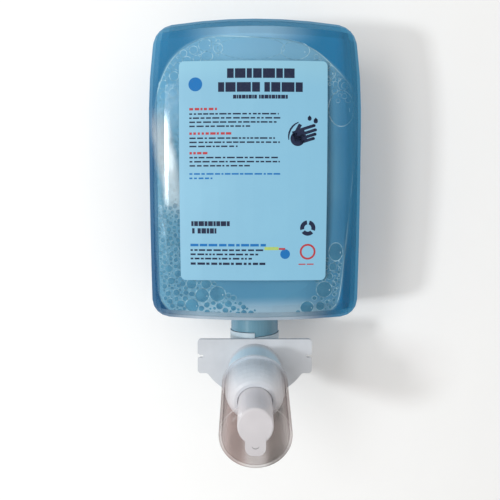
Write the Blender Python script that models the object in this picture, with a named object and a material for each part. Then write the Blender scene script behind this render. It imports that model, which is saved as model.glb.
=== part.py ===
"""Hand soap refill pack: a rigid one-litre bottle with a forward-facing foam pump.

The pack lies on its flat back, the way it comes to rest out of its dispenser.
+X runs across the bottle, +Y from the pump towards the bottle's base, and +Z
out of the labelled front. The origin is the centre of the bottle's back face.

Two frames carry the turned pieces. The neck frame's own Z runs down the neck
and away from the bottle. The pump frame's own Z runs out of the pump, along
the line that the pump head travels.
"""
import math

import bmesh
import bpy
from mathutils import Vector

MM = 0.001

# Clearances
SEAT_GAP = 0.3 * MM
RUNNING_GAP = 0.2 * MM

# Bottle
BODY_WIDTH = 111.2 * MM
BODY_LENGTH = 158.0 * MM
BODY_DEPTH = 68.0 * MM
BODY_EDGE_RADIUS = 9.5 * MM
BOTTLE_WALL = 1.1 * MM
FRONT_CROWN_ACROSS = 4.5 * MM
FRONT_CROWN_ALONG = 5.5 * MM
BASE_BOW = 3.6 * MM
SHOULDER_BOW = 2.2 * MM
BASE_TAPER = 3.4 * MM
TAPER_START = 0.4
SOAP_LEVEL_DROP = 5.6 * MM

# Neck, measured down from the bottle's shoulder
NECK_RADIUS = 13.4 * MM
NECK_LENGTH = 8.5 * MM
NECK_FILLET = 1.6 * MM
RIM_LEAD = 2.6 * MM
RIM_SWEEP = 0.6
FINISH_RADIUS = 11.9 * MM
FINISH_WALL = 1.7 * MM
FINISH_LENGTH = 7.1 * MM

# Label
LABEL_WIDTH = 75.0 * MM
LABEL_HEIGHT = 111.0 * MM
LABEL_THICKNESS = 0.3 * MM
LABEL_CORNER = 2.5 * MM
LABEL_SHIFT_X = -1.0 * MM
LABEL_SHIFT_Y = -0.2 * MM

# Collar and neck seal
COLLAR_WALL = 1.6 * MM
COLLAR_FLOOR = 1.2 * MM
THREAD_SPACE = 0.4 * MM
SEAL_THICKNESS = 0.8 * MM

# Pump housing behind the plate
FLANGE_THICKNESS = 1.2 * MM
ELBOW_RADIUS = 9.2 * MM
ELBOW_WALL = 1.8 * MM
ELBOW_LENGTH = 19.0 * MM
PLUG_LENGTH = 3.2 * MM
RIB_THICKNESS = 1.4 * MM
RIB_HEIGHT = 2.2 * MM
VENT_RADIUS = 2.0 * MM

# Plate
PLATE_THICKNESS = 2.0 * MM
PLATE_WIDTH = 62.6 * MM
PLATE_RISE = 8.5 * MM
WING_HEIGHT = 18.9 * MM
DISC_RADIUS = 31.7 * MM
DISC_DROP = 0.8 * MM
CORNER_RADIUS = 1.7 * MM
NOTCH_DROP = 9.4 * MM
NOTCH_DEPTH = 3.1 * MM
NOTCH_WIDTH = 1.5 * MM
NOTCH_MOUTH = 3.0 * MM
NOTCH_FLARE = 1.2 * MM

# Pump, measured along its own axis from the plate's front face
PUMP_TILT = math.radians(15.0)
PUMP_DROP = 9.5 * MM
BARREL_RADIUS = 15.1 * MM
BARREL_LENGTH = 8.7 * MM
BARREL_FLOOR = 3.5 * MM
SPIGOT_RADIUS = 14.2 * MM
SPIGOT_WALL = 1.4 * MM
SPIGOT_LENGTH = 6.3 * MM
AIR_WALL = 1.1 * MM
AIR_HEIGHT = 15.7 * MM
CYLINDER_FLOOR = 1.2 * MM
CYLINDER_FLANGE = 1.0 * MM
LIQUID_BORE = 4.4 * MM
LIQUID_WALL = 1.2 * MM
LIQUID_DEPTH = 16.8 * MM
LIQUID_RISE = 1.5 * MM
INLET_RADIUS = 1.8 * MM
O_RING_WIDTH = 1.2 * MM
O_RING_HEIGHT = 1.7 * MM
SPRING_WIRE = 0.35 * MM
SPRING_TURNS = 5.5

# Moving stack: liquid piston, stem, air piston, valves and mesh cartridge
PISTON_HEIGHT = 2.5 * MM
STEM_BORE = 1.6 * MM
STEM_ROOT_RADIUS = 2.6 * MM
STEM_RADIUS = 3.2 * MM
STEM_FLANGE_RADIUS = 4.2 * MM
STEM_FLANGE = 1.0 * MM
AIR_LIP_HEIGHT = 3.0 * MM
AIR_LIP_WALL = 0.8 * MM
AIR_DISC = 1.0 * MM
AIR_HUB_WALL = 1.3 * MM
AIR_HUB_HEIGHT = 5.8 * MM
FLAP_THICKNESS = 0.5 * MM
FLAP_WIDTH = 3.4 * MM
VALVE_HEIGHT = 3.2 * MM
VALVE_WALL = 0.8 * MM
MESH_THICKNESS = 0.4 * MM
MESH_SLEEVE_LENGTH = 6.4 * MM
MESH_SLEEVE_WALL = 0.9 * MM

# Pump head
HEAD_RADIUS = 8.7 * MM
HEAD_WALL = 1.2 * MM
HEAD_SKIRT_LENGTH = 25.3 * MM
HEAD_CROWN = 0.9 * MM
HEAD_TUBE_BORE = 4.2 * MM
HEAD_TUBE_WALL = 1.1 * MM
SPOUT_WIDTH = 9.9 * MM
SPOUT_DEPTH = 8.7 * MM
SPOUT_REACH = 13.2 * MM
SPOUT_CORNER = 3.6 * MM
SPOUT_SLOPE = math.radians(18.0)
SPOUT_SINK = 0.15 * MM
SPOUT_RUN_HEIGHT = 3.7 * MM
FOAM_BORE = 2.6 * MM

# Barrel retainer, the white bell round the pump
RETAINER_RADIUS = 15.8 * MM
RETAINER_WALL = 1.4 * MM
RETAINER_STRAIGHT = 7.0 * MM
RETAINER_DOME = 13.5 * MM
RETAINER_SEAT_RADIUS = 17.2 * MM
RETAINER_SEAT_RISE = 2.7 * MM
RETAINER_SEAT = 1.2 * MM

# Transit cap
CAP_RIM_RADIUS = 17.4 * MM
CAP_FRONT_RADIUS = 17.1 * MM
CAP_WALL = 1.2 * MM
CAP_LENGTH = 46.5 * MM
CAP_FRONT_FILLET = 4.2 * MM
CAP_RIM_BEAD = 0.2 * MM


def clear_scene():
    for old in list(bpy.data.objects):
        bpy.data.objects.remove(old, do_unlink=True)


def material(name, color, roughness, metallic=0.0, transmission=0.0):
    made = bpy.data.materials.new(name)
    made.use_nodes = True
    shader = made.node_tree.nodes["Principled BSDF"]
    shader.inputs["Base Color"].default_value = (*color, 1.0)
    shader.inputs["Roughness"].default_value = roughness
    shader.inputs["Metallic"].default_value = metallic
    shader.inputs["Transmission Weight"].default_value = transmission
    return made


def frame(name, location, rotation=(0.0, 0.0, 0.0)):
    """An empty that carries the pieces which share one axis."""
    made = bpy.data.objects.new(name, None)
    made.location = location
    made.rotation_euler = rotation
    bpy.context.collection.objects.link(made)
    return made


def finish(name, bm, look, parent=None, smooth=35.0):
    """Turns a bmesh into a named object with one material."""
    bmesh.ops.recalc_face_normals(bm, faces=bm.faces)
    mesh = bpy.data.meshes.new(name)
    bm.to_mesh(mesh)
    bm.free()
    mesh.shade_smooth()
    mesh.set_sharp_from_angle(angle=math.radians(smooth))
    mesh.materials.append(look)
    made = bpy.data.objects.new(name, mesh)
    made.parent = parent
    bpy.context.collection.objects.link(made)
    return made


def combine(target, other, operation):
    """Adds a Boolean to the target and turns the other object into its guide."""
    step = target.modifiers.new(other.name, "BOOLEAN")
    step.object = other
    step.operation = operation
    other.hide_render = True
    other.display_type = "WIRE"


def turned(name, profile, look, parent, segments=32):
    """Spins (radius, station) points round the parent's Z.

    Points on the axis close the form there. Without any, the profile is a
    closed loop and the form is a ring.
    """
    bm = bmesh.new()
    points = [bm.verts.new((radius, 0.0, station)) for radius, station in profile]
    for first, second in zip(points, points[1:]):
        bm.edges.new((first, second))
    if all(radius > 0.0 for radius, _ in profile):
        bm.edges.new((points[-1], points[0]))
    bmesh.ops.spin(
        bm,
        geom=bm.verts[:] + bm.edges[:],
        cent=(0.0, 0.0, 0.0),
        axis=(0.0, 0.0, 1.0),
        angle=2.0 * math.pi,
        steps=segments,
        use_merge=True,
    )
    bmesh.ops.remove_doubles(bm, verts=bm.verts, dist=0.001 * MM)
    return finish(name, bm, look, parent)


def arc(centre_r, centre_s, radius_r, radius_s, start, end, steps):
    """Points on an elliptical arc of a turned profile, angles in degrees."""
    points = []
    for step in range(steps + 1):
        angle = math.radians(start + (end - start) * step / steps)
        points.append((centre_r + radius_r * math.cos(angle), centre_s + radius_s * math.sin(angle)))
    return points


def ring(inner, outer, low, high):
    """The profile of a plain ring or tube."""
    return [(outer, high), (outer, low), (inner, low), (inner, high)]


def plug(radius, low, high):
    """The profile of a plain solid cylinder."""
    return [(0.0, high), (radius, high), (radius, low), (0.0, low)]


def rounded(corners, steps=4):
    """Polygon points with each (x, y, radius) corner filleted."""
    points = []
    for index, (x, y, radius) in enumerate(corners):
        here = Vector((x, y))
        if radius == 0.0:
            points.append(here)
            continue
        before = Vector(corners[index - 1][:2])
        after = Vector(corners[(index + 1) % len(corners)][:2])
        to_before = (before - here).normalized()
        to_after = (after - here).normalized()
        half_angle = to_before.angle(to_after) / 2.0
        centre = here + (to_before + to_after).normalized() * radius / math.sin(half_angle)
        start = here + to_before * radius / math.tan(half_angle) - centre
        end = here + to_after * radius / math.tan(half_angle) - centre
        for step in range(steps + 1):
            blend = start.lerp(end, step / steps)
            points.append(centre + blend.normalized() * radius)
    return points


def extruded(name, outline, low, high, look, parent=None):
    """A flat outline in X and Y, drawn out along Z."""
    bm = bmesh.new()
    base = bm.faces.new([bm.verts.new((point[0], point[1], low)) for point in outline])
    drawn = bmesh.ops.extrude_face_region(bm, geom=[base])
    raised = [item for item in drawn["geom"] if isinstance(item, bmesh.types.BMVert)]
    bmesh.ops.translate(bm, verts=raised, vec=(0.0, 0.0, high - low))
    return finish(name, bm, look, parent)


def box(name, low, high, look, parent=None):
    outline = [(low[0], low[1]), (high[0], low[1]), (high[0], high[1]), (low[0], high[1])]
    return extruded(name, outline, low[2], high[2], look, parent)


def shaped(point):
    """Bends a point of a plain box body into the bottle's moulded form.

    The front is crowned both ways, the two ends are bowed, and the body
    narrows a little towards its base.
    """
    across = point.x / (BODY_WIDTH / 2.0)
    along = point.y / (BODY_LENGTH / 2.0)
    height = point.z / BODY_DEPTH
    crown = FRONT_CROWN_ACROSS * across**2 + FRONT_CROWN_ALONG * along**2
    bow = BASE_BOW if along > 0.0 else -SHOULDER_BOW
    narrowing = max(0.0, (along - TAPER_START) / (1.0 - TAPER_START)) ** 2
    return Vector((
        point.x - BASE_TAPER * narrowing * across,
        point.y - bow * (across * along) ** 2,
        point.z - crown * height,
    ))


def front_height(x, y):
    """Height of the bottle's front wall over a place on its back."""
    return shaped(Vector((x, y, BODY_DEPTH))).z


def grid_cuts(bm, reach_x, cuts_x, reach_y, cuts_y):
    """Slices a mesh with even planes across X and Y, so it can be bent."""
    planes = []
    for step in range(cuts_x + 1):
        planes.append(((reach_x * (2.0 * step / cuts_x - 1.0), 0.0, 0.0), (1.0, 0.0, 0.0)))
    for step in range(cuts_y + 1):
        planes.append(((0.0, reach_y * (2.0 * step / cuts_y - 1.0), 0.0), (0.0, 1.0, 0.0)))
    for place, normal in planes:
        geometry = bm.verts[:] + bm.edges[:] + bm.faces[:]
        bmesh.ops.bisect_plane(bm, geom=geometry, plane_co=place, plane_no=normal, dist=0.001 * MM)


def body_form(name, inset, look, edge_steps, cuts_x, cuts_y, level=None):
    """The bottle's body, moved inwards from its outer skin by the inset."""
    bm = bmesh.new()
    bmesh.ops.create_cube(bm, size=1.0)
    sizes = Vector((BODY_WIDTH, BODY_LENGTH, BODY_DEPTH)) - Vector((2.0, 2.0, 2.0)) * inset
    for vert in bm.verts:
        vert.co = Vector((
            vert.co.x * sizes.x,
            vert.co.y * sizes.y,
            vert.co.z * sizes.z + BODY_DEPTH / 2.0,
        ))
    radius = BODY_EDGE_RADIUS - inset
    bmesh.ops.bevel(
        bm,
        geom=bm.edges[:],
        offset=radius,
        offset_type="OFFSET",
        segments=edge_steps,
        profile=0.5,
        affect="EDGES",
    )
    grid_cuts(bm, sizes.x / 2.0 - radius * 1.2, cuts_x, sizes.y / 2.0 - radius * 1.2, cuts_y)
    for vert in bm.verts:
        vert.co = shaped(vert.co)
    if level is not None:
        geometry = bm.verts[:] + bm.edges[:] + bm.faces[:]
        bmesh.ops.bisect_plane(
            bm,
            geom=geometry,
            plane_co=(0.0, 0.0, level),
            plane_no=(0.0, 0.0, 1.0),
            clear_outer=True,
            dist=0.001 * MM,
        )
        open_edges = [edge for edge in bm.edges if edge.is_boundary]
        bmesh.ops.holes_fill(bm, edges=open_edges)
    return finish(name, bm, look)


def rim_rise(turn):
    """How far the collar's helical rim has climbed after part of one turn."""
    return RIM_LEAD * turn**RIM_SWEEP


def ramped_ring(name, loop, rim_points, look, parent, segments=48):
    """A ring whose rim climbs through one turn and steps back at the front.

    The loop holds (radius, station) points, and those in rim_points climb
    towards lower stations. The turn starts and ends at the frame's +Y.
    """
    bm = bmesh.new()
    columns = []
    for column in range(segments + 1):
        turn = column / segments
        angle = math.pi / 2.0 - 2.0 * math.pi * turn
        rise = rim_rise(turn)
        verts = []
        for index, (radius, station) in enumerate(loop):
            climbing = index in rim_points
            if column == segments and not climbing:
                verts.append(columns[0][index])
                continue
            height = station - rise if climbing else station
            verts.append(bm.verts.new((radius * math.cos(angle), radius * math.sin(angle), height)))
        columns.append(verts)
    low_rim = [columns[0][index] for index in rim_points]
    high_rim = [columns[-1][index] for index in rim_points]
    count = len(loop)
    for left, right in zip(columns, columns[1:]):
        closing = right is columns[-1]
        for index in range(count):
            following = (index + 1) % count
            corners = [left[index], left[following], right[following], right[index]]
            if closing and following in rim_points and index not in rim_points:
                corners = [
                    left[index],
                    left[following],
                    right[following],
                    low_rim[rim_points.index(following)],
                    right[index],
                ]
            elif closing and index in rim_points and following not in rim_points:
                corners = [
                    left[index],
                    left[following],
                    right[following],
                    low_rim[rim_points.index(index)],
                    right[index],
                ]
            bm.faces.new(corners)
    bm.faces.new(low_rim + high_rim[::-1])
    return finish(name, bm, look, parent)


# Looks
BLUE_PLASTIC = ((0.16, 0.42, 0.56), 0.2)
bottle_look = material("bottle", *BLUE_PLASTIC, transmission=0.6)
soap_look = material("soap", (0.09, 0.30, 0.45), 0.1, transmission=0.4)
label_look = material("label", (0.32, 0.60, 0.76), 0.5)
white_look = material("white plastic", (0.82, 0.82, 0.83), 0.45)
grey_look = material("light grey plastic", (0.66, 0.67, 0.70), 0.5)
clear_look = material("clear plastic", (0.85, 0.83, 0.84), 0.1, transmission=0.9)
natural_look = material("natural plastic", (0.80, 0.82, 0.82), 0.4, transmission=0.3)
silicone_look = material("silicone", (0.75, 0.77, 0.78), 0.7)
steel_look = material("steel", (0.60, 0.60, 0.62), 0.3, metallic=1.0)
mesh_look = material("nylon mesh", (0.88, 0.88, 0.86), 0.8)

clear_scene()

# Places that several pieces share
neck_height = BODY_DEPTH / 2.0
shoulder = BODY_LENGTH / 2.0
rim_low = shoulder + NECK_LENGTH + RIM_LEAD
finish_end = shoulder + NECK_LENGTH + FINISH_LENGTH
seal_top = finish_end + SEAT_GAP
flange_top = seal_top + SEAL_THICKNESS + SEAT_GAP
flange_end = flange_top + FLANGE_THICKNESS
collar_floor = flange_end + SEAT_GAP
collar_end = collar_floor + COLLAR_FLOOR
collar_bore = FINISH_RADIUS + THREAD_SPACE
collar_radius = collar_bore + COLLAR_WALL
finish_bore = FINISH_RADIUS - FINISH_WALL
passage_radius = ELBOW_RADIUS - ELBOW_WALL
plate_back = neck_height + collar_radius + THREAD_SPACE
plate_front = plate_back + PLATE_THICKNESS
pump_root = -(collar_end + PUMP_DROP)

neck_frame = frame("neck_frame", (0.0, 0.0, neck_height), (math.pi / 2.0, 0.0, 0.0))
pump_frame = frame("pump_frame", (0.0, pump_root, plate_front), (PUMP_TILT, 0.0, 0.0))


def build_bottle():
    """A blow-moulded shell with its neck, open at the neck's end.

    The neck's outer ring ends in the same ramp as the collar's rim, so the
    collar locks against it once it is screwed home.
    """
    body = body_form("bottle", 0.0, bottle_look, 4, 6, 8)
    sink = BODY_EDGE_RADIUS
    core = finish_bore / 2.0
    fillet_radius = NECK_RADIUS + NECK_FILLET
    loop = [(core, shoulder - sink), (fillet_radius, shoulder - sink)]
    loop += arc(fillet_radius, shoulder + NECK_FILLET, NECK_FILLET, NECK_FILLET, 270.0, 180.0, 3)
    ramp = len(loop)
    loop += [
        (NECK_RADIUS, rim_low - SEAT_GAP),
        (FINISH_RADIUS, rim_low - SEAT_GAP),
        (FINISH_RADIUS, finish_end),
        (core, finish_end),
    ]
    neck = ramped_ring("bottle_neck_guide", loop, [ramp, ramp + 1], bottle_look, neck_frame)
    cavity = body_form("bottle_cavity_guide", BOTTLE_WALL, bottle_look, 3, 5, 6)
    bore_profile = plug(finish_bore, shoulder - 2.0 * sink, finish_end + MM)
    bore = turned("bottle_bore_guide", bore_profile, bottle_look, neck_frame, 40)
    combine(body, neck, "UNION")
    combine(body, cavity, "DIFFERENCE")
    combine(body, bore, "DIFFERENCE")


def build_soap():
    """The liquid: it fills the bottle up to a level surface and the neck."""
    level = BODY_DEPTH - SOAP_LEVEL_DROP
    soap = body_form("hand_soap", BOTTLE_WALL + SEAT_GAP, soap_look, 3, 5, 6, level)
    plug_top = flange_top - PLUG_LENGTH
    column = [
        (0.0, shoulder - BODY_EDGE_RADIUS),
        (finish_bore - SEAT_GAP, shoulder - BODY_EDGE_RADIUS),
        (finish_bore - SEAT_GAP, plug_top - SEAT_GAP),
        (passage_radius - SEAT_GAP, plug_top - SEAT_GAP),
        (passage_radius - SEAT_GAP, collar_end),
        (0.0, collar_end),
    ]
    combine(soap, turned("soap_column_guide", column, soap_look, neck_frame, 32), "UNION")


def build_label():
    """A rounded sheet that follows the crowned front wall."""
    half_x = LABEL_WIDTH / 2.0
    half_y = LABEL_HEIGHT / 2.0
    corners = [(-half_x, -half_y), (half_x, -half_y), (half_x, half_y), (-half_x, half_y)]
    outline = rounded([(x, y, LABEL_CORNER) for x, y in corners])
    bm = bmesh.new()
    base = bm.faces.new([bm.verts.new((point[0], point[1], 0.0)) for point in outline])
    drawn = bmesh.ops.extrude_face_region(bm, geom=[base])
    raised = [item for item in drawn["geom"] if isinstance(item, bmesh.types.BMVert)]
    bmesh.ops.translate(bm, verts=raised, vec=(0.0, 0.0, LABEL_THICKNESS))
    grid_cuts(bm, half_x - LABEL_CORNER, 8, half_y - LABEL_CORNER, 10)
    for vert in bm.verts:
        vert.co.x += LABEL_SHIFT_X
        vert.co.y += LABEL_SHIFT_Y
        vert.co.z += front_height(vert.co.x, vert.co.y) + SEAT_GAP
    finish("front_label", bm, label_look)


def build_collar():
    """The screw collar, with the ramped rim that locks on the bottle."""
    loop = [
        (collar_radius, collar_end),
        (collar_radius, rim_low),
        (collar_bore, rim_low),
        (collar_bore, collar_floor),
        (ELBOW_RADIUS + SEAT_GAP, collar_floor),
        (ELBOW_RADIUS + SEAT_GAP, collar_end),
    ]
    ramped_ring("neck_collar", loop, [1, 2], white_look, neck_frame)
    washer = ring(finish_bore + SEAT_GAP, FINISH_RADIUS, seal_top, seal_top + SEAL_THICKNESS)
    turned("neck_seal", washer, silicone_look, neck_frame, 32)


def plate_outline():
    """The notched plate: square wings on a round lower edge."""
    half = PLATE_WIDTH / 2.0
    top = -collar_end + PLATE_RISE
    wing_end = top - WING_HEIGHT
    disc_centre = top - DISC_DROP
    notch = top - NOTCH_DROP
    slot = NOTCH_WIDTH / 2.0
    mouth = NOTCH_MOUTH / 2.0
    joint_angle = math.asin((disc_centre - wing_end) / DISC_RADIUS)
    right = [
        (half, top, CORNER_RADIUS),
        (half, notch + mouth, 0.0),
        (half - NOTCH_FLARE, notch + slot, 0.0),
        (half - NOTCH_DEPTH, notch + slot, slot * 0.9),
        (half - NOTCH_DEPTH, notch - slot, slot * 0.9),
        (half - NOTCH_FLARE, notch - slot, 0.0),
        (half, notch - mouth, 0.0),
        (half, wing_end, CORNER_RADIUS),
        (DISC_RADIUS * math.cos(joint_angle), wing_end, CORNER_RADIUS),
    ]
    steps = 14
    for step in range(2, steps + 1):
        angle = joint_angle + (math.pi / 2.0 - joint_angle) * step / steps
        right.append((DISC_RADIUS * math.cos(angle), disc_centre - DISC_RADIUS * math.sin(angle), 0.0))
    left = [(-x, y, radius) for x, y, radius in reversed(right[:-1])]
    return rounded(right + left, 3)


def build_housing():
    """One moulding: neck flange and plug, elbow, plate and pump barrel."""
    housing = extruded("pump_housing", plate_outline(), plate_back, plate_front, grey_look)
    elbow_end = collar_end + ELBOW_LENGTH
    elbow = [(0.0, flange_end), (ELBOW_RADIUS, flange_end), (ELBOW_RADIUS, elbow_end - ELBOW_WALL)]
    elbow += [(ELBOW_RADIUS - ELBOW_WALL, elbow_end), (0.0, elbow_end)]
    flange = [
        (0.0, flange_top - PLUG_LENGTH),
        (finish_bore - SEAT_GAP, flange_top - PLUG_LENGTH),
        (finish_bore - SEAT_GAP, flange_top),
        (FINISH_RADIUS, flange_top),
        (FINISH_RADIUS, flange_end),
        (ELBOW_RADIUS, flange_end),
    ]
    neck_part = turned("elbow_guide", flange + elbow[2:], grey_look, neck_frame, 40)

    barrel_depth = BARREL_RADIUS * math.tan(PUMP_TILT) + PLATE_THICKNESS
    spigot_end = BARREL_LENGTH + SPIGOT_LENGTH
    barrel_profile = [
        (0.0, spigot_end),
        (SPIGOT_RADIUS, spigot_end),
        (SPIGOT_RADIUS, BARREL_LENGTH),
        (BARREL_RADIUS, BARREL_LENGTH),
        (BARREL_RADIUS, -barrel_depth),
        (0.0, -barrel_depth),
    ]
    barrel = turned("barrel_guide", barrel_profile, grey_look, pump_frame, 48)
    reach = PLATE_WIDTH
    behind = box(
        "behind_plate_guide",
        (-reach, pump_root - reach, plate_back - reach),
        (reach, pump_root + reach, plate_back + PLATE_THICKNESS / 2.0),
        grey_look,
    )
    combine(barrel, behind, "DIFFERENCE")

    tube_radius = LIQUID_BORE + LIQUID_WALL + SEAT_GAP
    liquid_end = BARREL_FLOOR + SEAT_GAP - LIQUID_DEPTH
    tube_outline = plug(tube_radius + SPIGOT_WALL, liquid_end / 2.0, 0.0)
    tube = turned("tube_guide", tube_outline, grey_look, pump_frame)
    gussets = []
    for side in (-1.0, 1.0):
        middle = side * (tube_radius + SPIGOT_WALL - RIB_THICKNESS / 2.0)
        gussets.append(box(
            "gusset_guide_left" if side < 0.0 else "gusset_guide_right",
            (middle - RIB_THICKNESS / 2.0, -elbow_end + ELBOW_WALL, neck_height + passage_radius / 2.0),
            (middle + RIB_THICKNESS / 2.0, -collar_end - 2.0 * SEAT_GAP, plate_back + PLATE_THICKNESS / 2.0),
            grey_look,
        ))
    rib_y = -collar_end - PUMP_DROP / 2.0
    wing = PLATE_WIDTH / 2.0 - NOTCH_DEPTH
    rib = box(
        "wing_rib_guide",
        (-wing, rib_y - RIB_THICKNESS / 2.0, plate_back - RIB_HEIGHT),
        (wing, rib_y + RIB_THICKNESS / 2.0, plate_back + PLATE_THICKNESS / 2.0),
        grey_look,
    )
    for piece in [neck_part, barrel, tube, *gussets, rib]:
        combine(housing, piece, "UNION")

    bore_radius = SPIGOT_RADIUS - SPIGOT_WALL
    ring_seat = BARREL_FLOOR - O_RING_HEIGHT - SEAT_GAP
    pump_bore = [
        (0.0, spigot_end + MM),
        (bore_radius, spigot_end + MM),
        (bore_radius, BARREL_FLOOR),
        (tube_radius + O_RING_WIDTH + SEAT_GAP, BARREL_FLOOR),
        (tube_radius + O_RING_WIDTH + SEAT_GAP, ring_seat),
        (tube_radius, ring_seat),
        (tube_radius, liquid_end - SEAT_GAP),
        (0.0, liquid_end - SEAT_GAP),
    ]
    passage = [
        (0.0, flange_top - PLUG_LENGTH - MM),
        (passage_radius, flange_top - PLUG_LENGTH - MM),
        (passage_radius, elbow_end - ELBOW_WALL),
        (VENT_RADIUS, elbow_end - ELBOW_WALL),
        (VENT_RADIUS, elbow_end + MM),
        (0.0, elbow_end + MM),
    ]
    combine(housing, turned("pump_bore_guide", pump_bore, grey_look, pump_frame, 48), "DIFFERENCE")
    combine(housing, turned("passage_guide", passage, grey_look, neck_frame, 32), "DIFFERENCE")

    vent_body = VENT_RADIUS - RUNNING_GAP
    outside = elbow_end + SEAT_GAP
    inside = elbow_end - ELBOW_WALL - SEAT_GAP
    vent = [
        (0.0, outside + FLAP_THICKNESS),
        (VENT_RADIUS + VALVE_WALL, outside + FLAP_THICKNESS),
        (VENT_RADIUS + VALVE_WALL, outside),
        (vent_body, outside),
        (vent_body, inside),
        (vent_body + VALVE_WALL, inside),
        (vent_body / 2.0, inside - VENT_RADIUS),
        (0.0, inside - VENT_RADIUS),
    ]
    turned("vent_valve", vent, silicone_look, neck_frame, 20)


def build_cylinder():
    """Air cylinder and liquid cylinder in one moulding, with what seals them."""
    air_radius = SPIGOT_RADIUS - SPIGOT_WALL - SEAT_GAP
    floor = BARREL_FLOOR + SEAT_GAP
    spigot_end = BARREL_LENGTH + SPIGOT_LENGTH
    flange_low = spigot_end + SEAT_GAP
    liquid_radius = LIQUID_BORE + LIQUID_WALL
    liquid_end = floor - LIQUID_DEPTH
    profile = [
        (air_radius, floor),
        (air_radius, flange_low),
        (SPIGOT_RADIUS, flange_low),
        (SPIGOT_RADIUS, flange_low + CYLINDER_FLANGE),
        (air_radius, flange_low + CYLINDER_FLANGE),
        (air_radius, floor + AIR_HEIGHT),
        (air_radius - AIR_WALL, floor + AIR_HEIGHT),
        (air_radius - AIR_WALL, floor + CYLINDER_FLOOR),
        (liquid_radius, floor + CYLINDER_FLOOR),
        (liquid_radius, floor + CYLINDER_FLOOR + LIQUID_RISE),
        (LIQUID_BORE, floor + CYLINDER_FLOOR + LIQUID_RISE),
        (LIQUID_BORE, liquid_end + CYLINDER_FLOOR),
        (INLET_RADIUS, liquid_end + CYLINDER_FLOOR),
        (INLET_RADIUS, liquid_end),
        (liquid_radius, liquid_end),
        (liquid_radius, floor),
    ]
    turned("pump_cylinder", profile, natural_look, pump_frame, 32)

    seal_inner = liquid_radius + SEAT_GAP
    seal = ring(seal_inner, seal_inner + O_RING_WIDTH, BARREL_FLOOR - O_RING_HEIGHT, BARREL_FLOOR)
    turned("cylinder_seal", seal, silicone_look, pump_frame, 28)

    disc_low = liquid_end + CYLINDER_FLOOR + SEAT_GAP
    valve_radius = LIQUID_BORE - 5.0 * SPRING_WIRE
    valve = [
        (0.0, disc_low + 2.0 * FLAP_THICKNESS),
        (valve_radius / 2.0, disc_low + 1.6 * FLAP_THICKNESS),
        (valve_radius, disc_low + FLAP_THICKNESS),
        (valve_radius, disc_low),
        (INLET_RADIUS - SEAT_GAP, disc_low),
        (INLET_RADIUS - 2.0 * SEAT_GAP, disc_low - CYLINDER_FLOOR),
        (0.0, disc_low - CYLINDER_FLOOR),
    ]
    turned("inlet_valve", valve, silicone_look, pump_frame, 24)


def build_spring(low, high):
    """A helical spring in the liquid cylinder, under the liquid piston."""
    path = bpy.data.curves.new("return_spring", "CURVE")
    path.dimensions = "3D"
    path.bevel_depth = SPRING_WIRE
    path.bevel_resolution = 1
    path.use_fill_caps = True
    per_turn = 14
    count = int(SPRING_TURNS * per_turn) + 1
    line = path.splines.new("POLY")
    line.points.add(count - 1)
    mean_radius = LIQUID_BORE - SEAT_GAP - 1.6 * SPRING_WIRE
    start = low + SPRING_WIRE
    climb = high - low - 2.0 * SPRING_WIRE
    for index, point in enumerate(line.points):
        turn = index / (count - 1)
        angle = 2.0 * math.pi * SPRING_TURNS * turn
        point.co = (mean_radius * math.cos(angle), mean_radius * math.sin(angle), start + climb * turn, 1.0)
    path.materials.append(steel_look)
    spring = bpy.data.objects.new("return_spring", path)
    spring.parent = pump_frame
    bpy.context.collection.objects.link(spring)


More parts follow.
